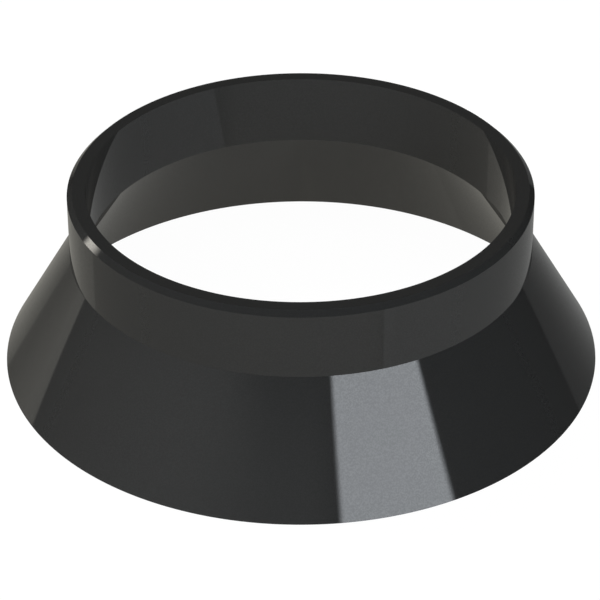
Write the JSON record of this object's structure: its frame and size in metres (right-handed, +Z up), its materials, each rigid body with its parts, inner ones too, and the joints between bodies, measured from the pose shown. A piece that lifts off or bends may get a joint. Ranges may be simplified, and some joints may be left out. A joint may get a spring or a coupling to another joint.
{
  "type": "weathering apron",
  "caption": "Flared weathering apron: a straight collar slips over a soil vent pipe, and a conical skirt below it sheds rain over the roof slate's upstand.",
  "frame": {"origin": "centre of the open base, on the plane that it stands on", "axes": "+Z up along the pipe's axis, from the skirt's open base towards the collar's rim"},
  "size_m": [0.1561, 0.156, 0.0499],
  "materials": {
    "black_plastic": "glossy black moulded plastic"
  },
  "bodies": {
    "root": {"weathering_apron": "black_plastic"}
  },
  "joints": []
}
